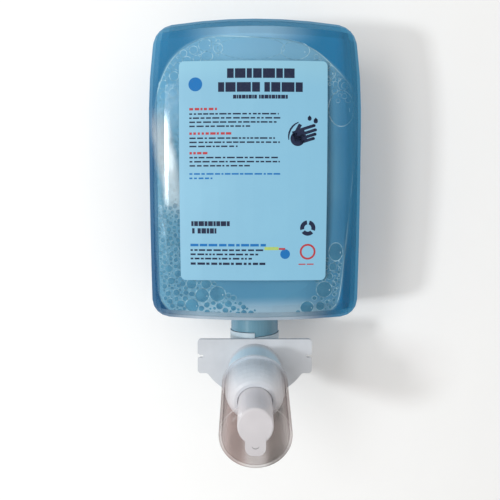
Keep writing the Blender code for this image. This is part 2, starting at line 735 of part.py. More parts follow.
def build_pistons():
    """The stack that the pump head drives, from the liquid piston upwards."""
    floor = BARREL_FLOOR + SEAT_GAP
    tube_top = floor + CYLINDER_FLOOR + LIQUID_RISE
    piston_top = tube_top - 2.0 * SEAT_GAP
    piston_low = piston_top - PISTON_HEIGHT
    stem_low = piston_low - SEAT_GAP - STEM_FLANGE / 2.0
    lip_radius = LIQUID_BORE - RUNNING_GAP
    waist = lip_radius - 2.0 * RUNNING_GAP
    piston = [
        (STEM_ROOT_RADIUS + SEAT_GAP, piston_top),
        (lip_radius, piston_top),
        (waist, piston_top - PISTON_HEIGHT / 3.0),
        (waist, piston_low + PISTON_HEIGHT / 3.0),
        (lip_radius, piston_low),
        (STEM_ROOT_RADIUS + SEAT_GAP, piston_low),
    ]
    turned("liquid_piston", piston, silicone_look, pump_frame, 28)
    spring_low = floor - LIQUID_DEPTH + CYLINDER_FLOOR + SEAT_GAP
    build_spring(spring_low, stem_low - SEAT_GAP)

    air_radius = SPIGOT_RADIUS - SPIGOT_WALL - SEAT_GAP - AIR_WALL
    lip_top = floor + AIR_HEIGHT - 2.0 * SEAT_GAP
    lip_low = lip_top - AIR_LIP_HEIGHT
    disc_low = lip_low + (AIR_LIP_HEIGHT - AIR_DISC) / 2.0
    hub_inner = STEM_RADIUS + SEAT_GAP
    hub_outer = hub_inner + AIR_HUB_WALL
    hub_top = lip_low + AIR_HUB_HEIGHT
    lip_outer = air_radius - RUNNING_GAP
    lip_inner = lip_outer - AIR_LIP_WALL
    air_piston = [
        (hub_inner, hub_top),
        (hub_outer, hub_top),
        (hub_outer, disc_low + AIR_DISC),
        (lip_inner, disc_low + AIR_DISC),
        (lip_inner, lip_top),
        (lip_outer, lip_top),
        (lip_outer, lip_low),
        (lip_inner, lip_low),
        (lip_inner, disc_low),
        (hub_outer, disc_low),
        (hub_outer, lip_low),
        (hub_inner, lip_low),
    ]
    turned("air_piston", air_piston, white_look, pump_frame, 28)
    flap_low = disc_low + AIR_DISC + SEAT_GAP
    flap_inner = hub_outer + SEAT_GAP
    flap = ring(flap_inner, flap_inner + FLAP_WIDTH, flap_low, flap_low + FLAP_THICKNESS)
    turned("air_valve", flap, silicone_look, pump_frame, 28)

    stop_low = hub_top + SEAT_GAP
    stem_top = stop_low + STEM_FLANGE + VALVE_HEIGHT
    socket_radius = HEAD_TUBE_BORE - SEAT_GAP
    rest_top = lip_low - SEAT_GAP
    stem = [
        (STEM_BORE, stem_top),
        (socket_radius, stem_top),
        (socket_radius, stop_low + STEM_FLANGE),
        (STEM_FLANGE_RADIUS, stop_low + STEM_FLANGE),
        (STEM_FLANGE_RADIUS, stop_low),
        (STEM_RADIUS, stop_low),
        (STEM_RADIUS, rest_top),
        (STEM_FLANGE_RADIUS, rest_top),
        (STEM_RADIUS, rest_top - STEM_FLANGE),
        (STEM_RADIUS, piston_top + SEAT_GAP),
        (STEM_ROOT_RADIUS, piston_top + SEAT_GAP),
        (STEM_ROOT_RADIUS, piston_low - SEAT_GAP),
        (lip_radius - RUNNING_GAP, piston_low - SEAT_GAP),
        (lip_radius - RUNNING_GAP, stem_low),
        (STEM_BORE, stem_low),
    ]
    turned("piston_stem", stem, white_look, pump_frame, 24)

    valve_low = stem_top + SEAT_GAP
    valve_top = valve_low + VALVE_HEIGHT
    bill = STEM_BORE / 2.0
    valve = [
        (0.0, valve_top - FLAP_THICKNESS),
        (bill, valve_top - FLAP_THICKNESS),
        (socket_radius - 2.0 * VALVE_WALL, valve_low + FLAP_THICKNESS),
        (socket_radius - VALVE_WALL, valve_low + FLAP_THICKNESS),
        (socket_radius - VALVE_WALL, valve_top),
        (socket_radius, valve_top),
        (socket_radius, valve_low),
        (STEM_BORE, valve_low),
        (0.0, valve_top - 2.0 * FLAP_THICKNESS),
    ]
    turned("outlet_valve", valve, silicone_look, pump_frame, 24)

    coarse_low = valve_top + SEAT_GAP
    sleeve_low = coarse_low + MESH_THICKNESS + SEAT_GAP
    sleeve_top = sleeve_low + MESH_SLEEVE_LENGTH
    fine_low = sleeve_top + SEAT_GAP
    coarse = plug(socket_radius, coarse_low, coarse_low + MESH_THICKNESS)
    turned("mesh_coarse", coarse, mesh_look, pump_frame, 20)
    sleeve = ring(socket_radius - MESH_SLEEVE_WALL, socket_radius, sleeve_low, sleeve_top)
    turned("mesh_sleeve", sleeve, white_look, pump_frame, 24)
    fine = plug(socket_radius, fine_low, fine_low + MESH_THICKNESS)
    turned("mesh_fine", fine, mesh_look, pump_frame, 20)
    build_head(stop_low + STEM_FLANGE + SEAT_GAP, fine_low + MESH_THICKNESS + SEAT_GAP)


def build_head(tube_low, bore_end):
    """The push head: a skirt that slides in the retainer, and the spout.

    Its face and the foam's bore lie parallel to the plate, so that a lever
    meets it square and foam falls clear of the pack once that hangs in its
    dispenser. The spout rises out of the face, clear of the transit cap.
    """
    roof = bore_end + FOAM_BORE
    front = roof + SPOUT_DEPTH
    skirt_low = front - HEAD_SKIRT_LENGTH
    tube_radius = HEAD_TUBE_BORE + HEAD_TUBE_WALL
    profile = [(0.0, front)]
    profile += arc(HEAD_RADIUS - HEAD_CROWN, front - HEAD_CROWN, HEAD_CROWN, HEAD_CROWN, 90.0, 0.0, 3)
    profile += [
        (HEAD_RADIUS, skirt_low),
        (HEAD_RADIUS - HEAD_WALL, skirt_low),
        (HEAD_RADIUS - HEAD_WALL, roof),
        (tube_radius, roof),
        (tube_radius, tube_low),
        (HEAD_TUBE_BORE, tube_low),
        (HEAD_TUBE_BORE, bore_end),
        (0.0, bore_end),
    ]
    head = turned("pump_head", profile, grey_look, pump_frame, 40)
    for vert in head.data.vertices:
        if vert.co.z > roof + HEAD_CROWN:
            vert.co.z -= vert.co.y * math.tan(PUMP_TILT)

    half = SPOUT_WIDTH / 2.0
    outline = rounded([
        (half, 0.0, 0.0),
        (-half, 0.0, 0.0),
        (-half, -SPOUT_REACH, SPOUT_CORNER),
        (half, -SPOUT_REACH, SPOUT_CORNER),
    ], 5)
    spout = extruded("spout_guide", outline, roof, front - SPOUT_SINK, grey_look, pump_frame)
    slope = math.tan(SPOUT_SLOPE)
    for vert in spout.data.vertices:
        rising = slope if vert.co.z > roof + HEAD_CROWN else slope / 2.0
        vert.co.z -= vert.co.y * rising
    combine(head, spout, "UNION")

    rise_outline = plug(FOAM_BORE, bore_end - MM, roof + FOAM_BORE / 2.0)
    rise = turned("foam_rise_guide", rise_outline, grey_look, pump_frame, 20)
    run_start = (0.0, 0.0, roof + SPOUT_RUN_HEIGHT)
    run_frame = frame("foam_run_frame", run_start, (math.pi / 2.0 - PUMP_TILT, 0.0, 0.0))
    run_frame.parent = pump_frame
    run = turned("foam_run_guide", plug(FOAM_BORE, 0.0, SPOUT_REACH + 2.0 * MM), grey_look, run_frame, 20)
    combine(head, rise, "DIFFERENCE")
    combine(head, run, "DIFFERENCE")


def build_retainer():
    """The white bell that clips over the barrel and guides the head."""
    low = BARREL_LENGTH + SEAT_GAP
    straight_end = low + RETAINER_STRAIGHT
    shoulder_seat = BARREL_LENGTH + SPIGOT_LENGTH + CYLINDER_FLANGE + 2.0 * SEAT_GAP
    guide = HEAD_RADIUS + SEAT_GAP
    span = RETAINER_RADIUS - guide
    inner_span = span - RETAINER_WALL
    seat_low = low + RETAINER_SEAT_RISE
    profile = [
        (RETAINER_RADIUS, low),
        (RETAINER_RADIUS, seat_low),
        (RETAINER_SEAT_RADIUS, seat_low),
        (RETAINER_SEAT_RADIUS, seat_low + RETAINER_SEAT),
        (RETAINER_RADIUS, seat_low + RETAINER_SEAT),
    ]
    profile += arc(guide, straight_end, span, RETAINER_DOME, 0.0, 76.0, 6)
    top = profile[-1][1]
    profile += [(guide, top), (guide, top - 2.0 * RETAINER_WALL)]
    inner = arc(guide, straight_end, inner_span, RETAINER_DOME - 2.0 * RETAINER_WALL, 75.0, 12.0, 4)
    profile += inner
    inner_radius = SPIGOT_RADIUS + SEAT_GAP
    profile += [(inner[-1][0], shoulder_seat), (inner_radius, shoulder_seat), (inner_radius, low)]
    turned("barrel_retainer", profile, white_look, pump_frame, 40)
    return seat_low + RETAINER_SEAT + SEAT_GAP


def build_cap(low):
    """The clear transit cap that keeps the pump from being pressed."""
    high = low + CAP_LENGTH
    slope = (CAP_RIM_RADIUS - CAP_FRONT_RADIUS) / CAP_LENGTH
    fillet = CAP_FRONT_FILLET
    side_end = high - fillet
    outer_front = CAP_RIM_RADIUS - slope * (side_end - low)
    inner_fillet = fillet - CAP_WALL
    profile = [
        (CAP_RIM_RADIUS + CAP_RIM_BEAD, low),
        (CAP_RIM_RADIUS + CAP_RIM_BEAD, low + CAP_WALL),
        (CAP_RIM_RADIUS, low + CAP_WALL + CAP_RIM_BEAD),
    ]
    profile += arc(outer_front - fillet, side_end, fillet, fillet, 0.0, 90.0, 5)
    profile += [(0.0, high), (0.0, high - CAP_WALL)]
    profile += arc(outer_front - fillet, side_end, inner_fillet, inner_fillet, 90.0, 0.0, 4)
    profile += [(CAP_RIM_RADIUS - CAP_WALL, low)]
    inner_start = profile.index((0.0, high - CAP_WALL))
    turned("transit_cap", profile[inner_start:] + profile[:inner_start], clear_look, pump_frame, 44)


build_bottle()
build_soap()
build_label()
build_collar()
build_housing()
build_cylinder()
build_pistons()
build_cap(build_retainer())
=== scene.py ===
"""Hand soap refill pack lying on its back, seen from above in plain soft light."""

import math
import random

import bmesh
import bpy
from mathutils import Matrix, Vector


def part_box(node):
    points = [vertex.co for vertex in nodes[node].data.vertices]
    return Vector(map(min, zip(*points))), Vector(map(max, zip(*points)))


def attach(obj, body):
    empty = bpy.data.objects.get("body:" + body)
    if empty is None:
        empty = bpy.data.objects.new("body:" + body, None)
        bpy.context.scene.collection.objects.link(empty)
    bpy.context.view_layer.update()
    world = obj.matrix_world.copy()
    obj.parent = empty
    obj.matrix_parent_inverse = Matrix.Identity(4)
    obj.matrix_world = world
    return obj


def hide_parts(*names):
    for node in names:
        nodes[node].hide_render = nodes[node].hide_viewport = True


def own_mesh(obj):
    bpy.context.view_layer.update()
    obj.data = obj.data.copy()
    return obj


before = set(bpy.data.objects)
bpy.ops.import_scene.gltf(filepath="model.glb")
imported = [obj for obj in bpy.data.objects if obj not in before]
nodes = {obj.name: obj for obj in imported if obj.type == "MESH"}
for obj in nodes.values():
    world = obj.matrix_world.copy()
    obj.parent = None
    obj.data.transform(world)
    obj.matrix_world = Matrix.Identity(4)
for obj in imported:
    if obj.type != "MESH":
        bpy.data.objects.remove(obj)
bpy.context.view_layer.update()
MM = 0.001


# Bottle: blow-moulded clear blue plastic with a glossy skin. Light mostly goes
# straight through its thin wall, and the wall seen on edge is the darkest.
class Wire:
    """A shader output. Arithmetic on it adds Math nodes to its material."""

    def __init__(self, look, socket):
        self.look = look
        self.socket = socket

    def math(self, operation, *others):
        inputs = {slot: value for slot, value in enumerate((self, *others))}
        return self.look.node("Math", {"operation": operation}, inputs)

    def __add__(self, other):
        return self.math("ADD", other)

    def __sub__(self, other):
        return self.math("SUBTRACT", other)

    def __mul__(self, other):
        return self.math("MULTIPLY", other)

    def __truediv__(self, other):
        return self.math("DIVIDE", other)

    def __pow__(self, other):
        return self.math("POWER", other)

    def __rpow__(self, base):
        return self.look.node("Math", {"operation": "POWER"}, {0: base, 1: self})

    def __rsub__(self, other):
        return self.math("MULTIPLY", -1.0).math("ADD", other)

    def __abs__(self):
        return self.math("ABSOLUTE")

    __radd__ = __add__
    __rmul__ = __mul__

    def step(self, low, high):
        """0 up to low, 1 from high on, and a smooth climb between them."""
        inputs = {"Value": self, "From Min": low, "From Max": high}
        return self.look.node("MapRange", {"interpolation_type": "SMOOTHSTEP"}, inputs)


class Look:
    """One procedural material, written as Python expressions."""

    def __init__(self, name):
        self.material = bpy.data.materials.new(name)
        self.material.use_nodes = True
        self.tree = self.material.node_tree
        self.tree.nodes.clear()
        self.spot = None

    def node(self, kind, settings=None, inputs=None, output=0):
        made = self.tree.nodes.new("ShaderNode" + kind)
        for name, value in (settings or {}).items():
            setattr(made, name, value)
        for name, value in (inputs or {}).items():
            self.feed(made.inputs[name], value)
        return Wire(self, made.outputs[output])

    def feed(self, socket, value):
        if isinstance(value, Wire):
            self.tree.links.new(value.socket, socket)
        elif socket.type == "RGBA":
            socket.default_value = (*value, 1.0)
        else:
            socket.default_value = value

    def place(self):
        if self.spot is None:
            self.spot = self.node("TexCoord", output=3)
        return self.spot

    def axes(self):
        return [self.node("SeparateXYZ", inputs={"Vector": self.place()}, output=axis)
                for axis in range(3)]

    def noise(self, scale, detail=2.0, stretch=(1.0, 1.0, 1.0)):
        spread = self.node("Mapping", inputs={"Vector": self.place(), "Scale": stretch})
        inputs = {"Vector": spread, "Scale": scale, "Detail": detail}
        return self.node("TexNoise", inputs=inputs)

    def mix(self, first, second, factor):
        inputs = {0: factor, 6: first, 7: second}
        return self.node("Mix", {"data_type": "RGBA"}, inputs, output=2)

    def bump(self, height, distance, strength=0.6):
        inputs = {"Height": height, "Distance": distance, "Strength": strength}
        return self.node("Bump", inputs=inputs)

    def blend(self, factor, first, second):
        return self.node("MixShader", inputs={0: factor, 1: first, 2: second})

    def on_edge(self):
        """0 where the surface faces the eye, and up to 1 where it is seen on edge."""
        return self.node("LayerWeight", inputs={"Blend": 0.5}, output=1)

    def solid(self, **inputs):
        named = {name.replace("_", " "): value for name, value in inputs.items()}
        return self.node("BsdfPrincipled", inputs=named)

    def show(self, shader):
        output = self.tree.nodes.new("ShaderNodeOutputMaterial")
        self.tree.links.new(shader.socket, output.inputs["Surface"])
        return self.material


def dress(material, *names):
    """Gives CAD nodes this material in every slot they have."""
    for name in names:
        slots = nodes[name].data.materials
        if not len(slots):
            slots.append(material)
        for index in range(len(slots)):
            slots[index] = material


def glossed(look, through, shine, edge_shine, ripple, roughness):
    """Adds the gloss of smooth plastic, stronger on edge, to what shows through it."""
    scuffs = look.noise(260.0, 4.0, (1.0, 0.25, 1.0))
    waves = look.noise(75.0, 3.0, (1.0, 0.6, 1.0))
    gloss = look.solid(Base_Color=(0.98, 0.99, 1.0), Metallic=1.0,
                       Roughness=scuffs.step(0.35, 0.8) * 0.08 + roughness,
                       Normal=look.bump(waves, ripple, 1.0))
    return look.show(look.blend(look.on_edge() ** 5.0 * edge_shine + shine, through, gloss))


def clear_wall(look, pale, deep, start, end):
    """A clear wall: tinted where seen square on, and deeper where seen on edge."""
    face = look.node("BsdfTransparent", inputs={"Color": pale})
    edge = look.node("BsdfTransparent", inputs={"Color": deep})
    return look.blend(look.on_edge().step(start, end), face, edge)


# The body is clear. From its neck end on, the wall is thick and shows its own blue.
NECK_END = 78.9 * MM
NECK_BLEND = 1.7 * MM
wall = Look("blue_bottle_wall")
across, along, up = wall.axes()
swirl = wall.noise(120.0, 3.0, (1.0, 0.2, 1.0))
neck_blue = wall.solid(Base_Color=wall.mix((0.10, 0.28, 0.39), (0.22, 0.44, 0.56), swirl),
                       Roughness=0.25)
thick = (along * -1.0).step(NECK_END, NECK_END + NECK_BLEND) * 0.72
see_in = clear_wall(wall, (0.90, 0.965, 0.98), (0.58, 0.83, 0.92), start=0.30, end=0.92)

# Its rounded corners hide what lies behind them: dark towards the neck, bluer to the
# right, and pale along the middle of the neck end.
front = up.step(36.0 * MM, 56.0 * MM)
rounding = wall.mix((0.0, 0.07, 0.19), (0.06, 0.255, 0.44), along.step(-10.0 * MM, 74.0 * MM))
rounding = wall.mix(rounding, (0.02, 0.29, 0.55), across.step(30.0 * MM, 54.0 * MM) * 0.85)
rounding = wall.mix(rounding, (0.58, 0.67, 0.76), (along * -1.0).step(65.0 * MM, 73.0 * MM)
                    * (1.0 - abs(across + 6.0 * MM).step(20.0 * MM, 50.0 * MM)) * front * 0.95)
rounded_blue = wall.solid(Base_Color=wall.mix(rounding, (0.12, 0.32, 0.47), swirl * 0.25),
                          Roughness=0.4, Specular_IOR_Level=0.05)
turned_away = wall.on_edge().step(0.24, 0.60)
corner = across.step(40.0 * MM, 49.0 * MM) * along.step(-52.0 * MM, -20.0 * MM) * 0.35
see_in = wall.blend((turned_away * 0.94).math("MAXIMUM", corner), see_in, rounded_blue)

# The front's left side carries a painted highlight: gloss raised in patches along a line
# that leans a little, so a glare shows there.
GLARE_SIDE = 44.0 * MM
GLARE_LEAN = 0.19
patches = wall.noise(62.0, 5.0, (1.0, 0.4, 1.0)).step(0.34, 0.62)
slant = across + along * GLARE_LEAN + (patches - 0.5) * 2.0 * MM
glare = ((1.0 - abs(slant + GLARE_SIDE).step(2.0 * MM, 7.5 * MM)) * along.step(-26.0 * MM, -12.0 * MM)
         * (1.0 - along.step(18.0 * MM, 36.0 * MM)) * front)
dress(glossed(wall, wall.blend(thick, see_in, neck_blue),
              shine=glare * (patches * 0.16 + 0.11) + 0.012, edge_shine=0.05, ripple=0.03 * MM,
              roughness=glare * 0.07 + 0.06), "bottle")


# Hand soap: one litre of blue liquid with an air pocket and froth under the
# front wall. Outside the pocket the liquid meets the wall and looks darkest.
POCKET_ROUNDING = 0.9


def pocket_reach(x, y):
    """1 on the air pocket's outline and less inside it, for a place in millimetres.

    The outline has sixteen straight sides, run smoothly into one another. Each is
    the way it faces, to the right and towards the base, and how far out it lies.
    """
    sides = ((1.0, -0.09, 50.6), (-1.0, 0.0, 51.6), (0.05, 1.0, 67.6), (0.0, -1.0, 77.0),
             (0.71, 0.71, 66.2), (0.92, 0.38, 62.4), (0.38, 0.92, 68.6), (-0.71, 0.71, 71.0),
             (-0.92, 0.38, 62.0), (-0.38, 0.92, 72.4), (0.71, -0.71, 81.0), (0.92, -0.38, 67.8),
             (0.38, -0.92, 82.8), (-0.71, -0.71, 84.0), (-0.92, -0.38, 72.4), (-0.38, -0.92, 85.6))
    return sum(2.0 ** ((x * right + y * top - reach) / POCKET_ROUNDING)
               for right, top, reach in sides)


soap = Look("blue_liquid")
across, along, up = soap.axes()
waver = soap.noise(38.0, 2.0)
drift = soap.noise(20.0, 3.0)
reach = pocket_reach(across / MM + waver * 3.0 - 1.5, along / MM + drift * 3.0 - 1.5)
pocket = 1.0 - reach.step(0.7, 1.5)
meniscus = reach.step(0.25, 0.9) * (1.0 - reach.step(1.0, 2.6))
low_end = 1.0 - along.step(-74.0 * MM, 66.0 * MM)
rightness = across.step(-42.0 * MM, 50.0 * MM)
centre = 1.0 - abs(across + 2.0 * MM).step(8.0 * MM, 38.0 * MM)

# Seen through the pocket the liquid is pale: deeper at the base's left and palest along the
# rest of the base, and darker to the right, a painted shade for light from the left.
# Against the wall it is dark, bluer to the right and pale at the base's middle.
inner = soap.mix((0.26, 0.52, 0.70), (0.145, 0.345, 0.505), low_end)
# Painted shade: darker to the right, away from the light.
inner = soap.mix(inner, (0.04, 0.25, 0.45), rightness * 0.55)
inner = soap.mix(inner, (0.46, 0.66, 0.81), along.step(46.0 * MM, 62.0 * MM) * 0.6)
inner = soap.mix(inner, (0.30, 0.58, 0.73), drift.step(0.40, 0.72) * 0.3)
inner = soap.mix(inner, (0.17, 0.40, 0.58), (across * -1.0).step(12.0 * MM, 34.0 * MM)
                 * along.step(28.0 * MM, 44.0 * MM) * 0.6)
outer = soap.mix((0.0, 0.08, 0.20), (0.04, 0.25, 0.45), along.step(0.0, 74.0 * MM))
outer = soap.mix(outer, (0.02, 0.31, 0.58), rightness.step(0.4, 1.0) * 0.75)
outer = soap.mix(outer, (0.52, 0.71, 0.87), along.step(62.0 * MM, 70.0 * MM) * centre * 0.9)
outer = soap.mix(outer, (0.0, 0.20, 0.43), (along * -1.0).step(0.0, 60.0 * MM)
                 * across.step(38.0 * MM, 48.0 * MM) * 0.9)
body = soap.mix(outer, inner, pocket)
body = soap.mix(body, (0.36, 0.56, 0.68), meniscus * 0.4)


def froth(scale, spread, thin, thick_wall):
    """Light walls between round cells, where spread lets them show."""
    cells = soap.node("TexVoronoi", {"feature": "DISTANCE_TO_EDGE"},
                      {"Vector": soap.place(), "Scale": scale, "Randomness": 1.0})
    return (1.0 - cells.step(thin, thick_wall)) * spread


# Fine froth lies down the pocket's left side, along its neck end and in its right
# corner. A slanting line, in millimetres, bounds it towards the middle.
FROTH_LEAN = 1.3
FROTH_START = 96.0
left_strip = (across * -1.0).step(37.0 * MM, 46.0 * MM) * (1.0 - along.step(-20.0 * MM, 46.0 * MM))
froth_end = (across / MM + FROTH_LEAN * (along / MM) + FROTH_START + waver * 6.0 - 3.0).step(-12.0, 2.0)
low_strip = (along * -1.0).step(53.0 * MM, 64.0 * MM) * (1.0 - froth_end)
neck_strip = (along * -1.0).step(69.0 * MM, 74.0 * MM) * (1.0 - across.step(28.0 * MM, 40.0 * MM))
right_strip = (across + along * 0.09).step(40.5 * MM, 44.5 * MM) * (along * -1.0).step(34.0 * MM, 50.0 * MM)
foamy = left_strip.math("MAXIMUM", low_strip).math("MAXIMUM", neck_strip)
near_front = up.step(52.0 * MM, 60.0 * MM)
foamy = foamy.math("MAXIMUM", right_strip) * pocket * near_front
body = soap.mix(body, (0.165, 0.36, 0.49), foamy * (waver.step(0.3, 0.6) * 0.45 + 0.25))
body = soap.mix(body, (0.29, 0.48, 0.60), froth(1100.0, foamy, 0.02, 0.22) * 0.4)
body = soap.mix(body, (0.38, 0.57, 0.68), froth(520.0, foamy, 0.01, 0.10) * 0.5)

# Painted light: the froth behind the glare is painted pale, as if the glare lit it. A pale
# shelf of foam lies at the neck end.
slant = across + along * GLARE_LEAN + (waver - 0.5) * 6.0 * MM
# Painted light: a pale band along the glare's line.
painted_glare_light = ((1.0 - abs(slant + GLARE_SIDE).step(1.5 * MM, 6.5 * MM)) * along.step(-27.0 * MM, -12.0 * MM)
         * (1.0 - along.step(22.0 * MM, 40.0 * MM)) * near_front)
body = soap.mix(body, (0.66, 0.80, 0.88), painted_glare_light * (drift.step(0.30, 0.62) * 0.5 + 0.2))
shelf = (along * -1.0 + waver * 3.0 * MM).step(65.5 * MM, 74.0 * MM) * near_front
body = soap.mix(body, (0.56, 0.62, 0.70), shelf * (1.0 - abs(across).step(20.0 * MM, 46.0 * MM)) * 0.95)
dress(soap.show(soap.solid(Base_Color=body, Roughness=0.3 + drift * 0.1,
                           Specular_IOR_Level=0.1)), "hand_soap")


# Bubbles: the larger cells of the froth, dark rounds with thin film rims that
# touch the wall. Each lies on the liquid, and the big ones carry a painted glint, a pale spot.
WELL_ABOVE = 200.0 * MM


def drape(bm, node, lift):
    """Sets each point's height over a CAD node's upper face."""
    for vert in bm.verts:
        above = Vector((vert.co.x, vert.co.y, WELL_ABOVE))
        hit, place, normal, face = nodes[node].ray_cast(above, Vector((0.0, 0.0, -1.0)))
        if hit:
            vert.co.z += place.z + lift


def as_piece(name, bm, material, body):
    """Turns a bmesh into a piece that rides a body."""
    mesh = bpy.data.meshes.new(name)
    bm.to_mesh(mesh)
    bm.free()
    mesh.shade_smooth()
    mesh.materials.append(material)
    piece = bpy.data.objects.new(name, mesh)
    bpy.context.collection.objects.link(piece)
    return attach(piece, body)


def rim(bm, place, radius, width, height, segments):
    """A low round ridge: its outer slope and its inner one meet on the radius."""
    for foot in (radius + width, radius - width):
        bmesh.ops.create_cone(bm, segments=segments, radius1=foot, radius2=radius, depth=height,
                              matrix=place @ Matrix.Translation((0.0, 0.0, height / 2.0)))


def film(name, dim, bright, patchiness, cover):
    """Wet film, patchily bright: painted light brighter right and near the base, painted shade left."""
    look = Look(name)
    patches = look.noise(patchiness, 2.0)
    across, along, up = look.axes()
    lit = (along.step(20.0 * MM, 60.0 * MM) * 0.6).math("MAXIMUM", across.step(38.0 * MM, 46.0 * MM) * 0.8)
    shaded = (across * -1.0).step(12.0 * MM, 38.0 * MM) * (1.0 - along.step(-6.0 * MM, 30.0 * MM)) * 0.7
    dim = look.mix(look.mix(dim, tuple(0.75 * part for part in dim), shaded),
                   tuple(1.3 * part for part in dim), lit)
    bright = look.mix(look.mix(bright, tuple(0.85 * part for part in bright), shaded),
                      (0.84, 0.95, 1.0), lit)
    return look.show(look.solid(Base_Color=look.mix(dim, bright, patches.step(0.3, 0.7)),
                                Roughness=0.15 + patches * 0.15,
                                Alpha=patches.step(0.25, 0.65) * (1.0 - cover) + cover))


# Large bubbles, then the arcs of film near the base and the right side. Each is a
# place across and along, a radius and a stretch along, in millimetres.
bubbles = [
    (-27.6, -64.1, 3.7, 1.0), (-19.6, -63.3, 4.2, 0.95), (-33.1, -69.6, 3.6, 1.0),
    (-33.2, -58.1, 2.7, 1.0), (-25.5, -58.0, 2.7, 0.9), (-43.9, -56.6, 1.9, 1.0),
    (-41.4, -62.8, 1.7, 1.0), (-36.1, -62.8, 1.4, 1.0), (-45.1, -50.0, 2.0, 1.0),
    (-40.2, -52.6, 2.1, 0.9), (-39.2, -68.8, 2.0, 1.0), (-25.2, -69.2, 1.5, 1.0),
    (-18.6, -69.8, 1.8, 1.0), (-13.9, -68.6, 2.0, 0.9), (42.0, -41.2, 3.6, 1.32),
    (40.6, -49.0, 2.0, 1.0), (38.9, -54.0, 1.7, 1.0), (36.3, -61.0, 4.2, 1.0),
    (27.4, -70.6, 3.5, 0.95), (34.5, -70.1, 2.3, 1.05), (31.2, -65.6, 1.3, 0.9),
    (-25.3, 63.8, 3.4, 0.9), (-24.4, 58.2, 3.0, 0.75), (-31.2, 61.4, 2.1, 1.0),
]
arcs = [
    (-2.0, 62.3, 17.0, 0.33), (20.4, 61.0, 7.2, 0.62), (36.4, 50.2, 4.6, 0.9),
    (44.0, 32.2, 6.6, 1.37), (44.6, 44.2, 2.4, 1.3),
]

# Zones of small bubbles: left, right, low and high edge, least and greatest radius,
# and how many places are tried.
froth_zones = [
    (-48.0, 0.0, -75.0, -56.5, 0.55, 1.5, 1700), (-50.0, -38.5, -57.0, -16.0, 0.5, 1.25, 900),
    (-50.0, -38.5, -16.0, 34.0, 0.35, 0.75, 800), (30.0, 40.0, 56.0, 64.0, 0.6, 1.4, 60),
    (22.0, 48.0, -76.0, -44.0, 0.4, 1.1, 900), (-50.0, -18.0, 34.0, 70.0, 0.6, 2.4, 1500),
    (36.0, 52.0, 36.0, 60.0, 0.6, 1.6, 200),
]


label_low, label_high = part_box("front_label")


def free_place(x, y, radius):
    """True for a round in the froth that is clear of the label and the others."""
    under_label = label_low.x < x * MM < label_high.x and label_low.y < y * MM < label_high.y
    off_pocket = pocket_reach(x, y) > 0.35
    mid_base = y > 30.0 and pocket_reach(x, y) < 0.0008
    open_part = -72.0 < y < 0.0
    open_right = open_part and 0.0 < x < 34.0 - 0.1 * (y + 72.0)
    open_left = open_part and -30.0 < x < 0.0 and x + FROTH_LEAN * y + FROTH_START > 0.0
    if under_label or off_pocket or mid_base or open_right or open_left:
        return False
    return all(math.hypot(x - other[0], (y - other[1]) / other[3]) > radius + other[2] + 0.06
               for other in bubbles)


chance = random.Random(4)
for left, right, low, high, least, most, tries in froth_zones:
    for attempt in range(tries):
        x, y = chance.uniform(left, right), chance.uniform(low, high)
        radius = least + (most - least) * (1.0 - attempt / tries) ** 1.6
        if free_place(x, y, radius):
            bubbles.append((x, y, radius, 1.0))

# Each gets a rim of film. In the froth the middle-sized ones are dark domes and the
# small ones flat rounds, and the big ones carry a painted glint on their right, a pale spot.
LEAST_DOME = 1.3
MOST_DARK = 4.5
LEAST_GLINT = 3.3
MOST_GLINT = 8.0
rims, rounds, glints = bmesh.new(), bmesh.new(), bmesh.new()
for x, y, radius, stretch in bubbles + arcs:
    place = Matrix.Translation((x * MM, y * MM, 0.0)) @ Matrix.Diagonal((1.0, stretch, 1.0, 1.0))
    segments = 10 if radius < 1.0 else 14 if radius < 2.0 else 36
    rim(rims, place, radius * MM, (0.09 + 0.035 * min(radius, 3.0)) * MM, 0.06 * MM, segments)
    dark_below = 0.0 if x > -36.0 else -17.0
    if y < dark_below and LEAST_DOME < radius < MOST_DARK:
        flat = Matrix.Diagonal((radius * MM, radius * MM, 0.09 * MM, 1.0))
        bmesh.ops.create_uvsphere(rounds, u_segments=24, v_segments=10, radius=1.0,
                                  matrix=place @ flat)
    elif y < dark_below and radius < MOST_DARK:
        bmesh.ops.create_circle(rounds, cap_ends=True, cap_tris=True, segments=segments,
                                radius=radius * MM, matrix=place)
    # Painted glint: a small pale spot laid on the bubble's right.
    if LEAST_GLINT < radius < MOST_GLINT:
        spot = Matrix.Translation(((x + 0.66 * radius) * MM, (y - 0.1 * radius) * MM, 0.0))
        size = Matrix.Diagonal((0.2 * MM, 0.13 * radius * stretch * MM, 0.1 * MM, 1.0))
        bmesh.ops.create_uvsphere(glints, u_segments=8, v_segments=5, radius=1.0,
                                  matrix=spot @ size)

drape(rounds, "hand_soap", 0.05 * MM)
drape(rims, "hand_soap", 0.06 * MM)
drape(glints, "hand_soap", 0.1 * MM)
hollow = Look("bubble_hollow")
across, along, up = hollow.axes()
depth = hollow.noise(160.0, 2.0)
tone = hollow.mix((0.085, 0.255, 0.39), (0.13, 0.345, 0.49), depth.step(0.35, 0.65))
tone = hollow.mix(tone, (0.05, 0.24, 0.385), across.step(0.0, 44.0 * MM) * 0.6)
hollow.show(hollow.solid(Base_Color=tone, Roughness=0.2 + depth * 0.1, Specular_IOR_Level=0.3))
as_piece("bubble_rounds", rounds, hollow.material, "pack")
bubble_film = film("bubble_film", (0.30, 0.52, 0.65), (0.56, 0.73, 0.82), patchiness=420.0, cover=0.45)
as_piece("soap_bubbles", rims, bubble_film, "pack")
painted_glint = film("painted_glint", (0.86, 0.92, 0.96), (0.95, 0.98, 1.0), patchiness=900.0, cover=0.9)
as_piece("bubble_glints", glints, painted_glint, "pack")

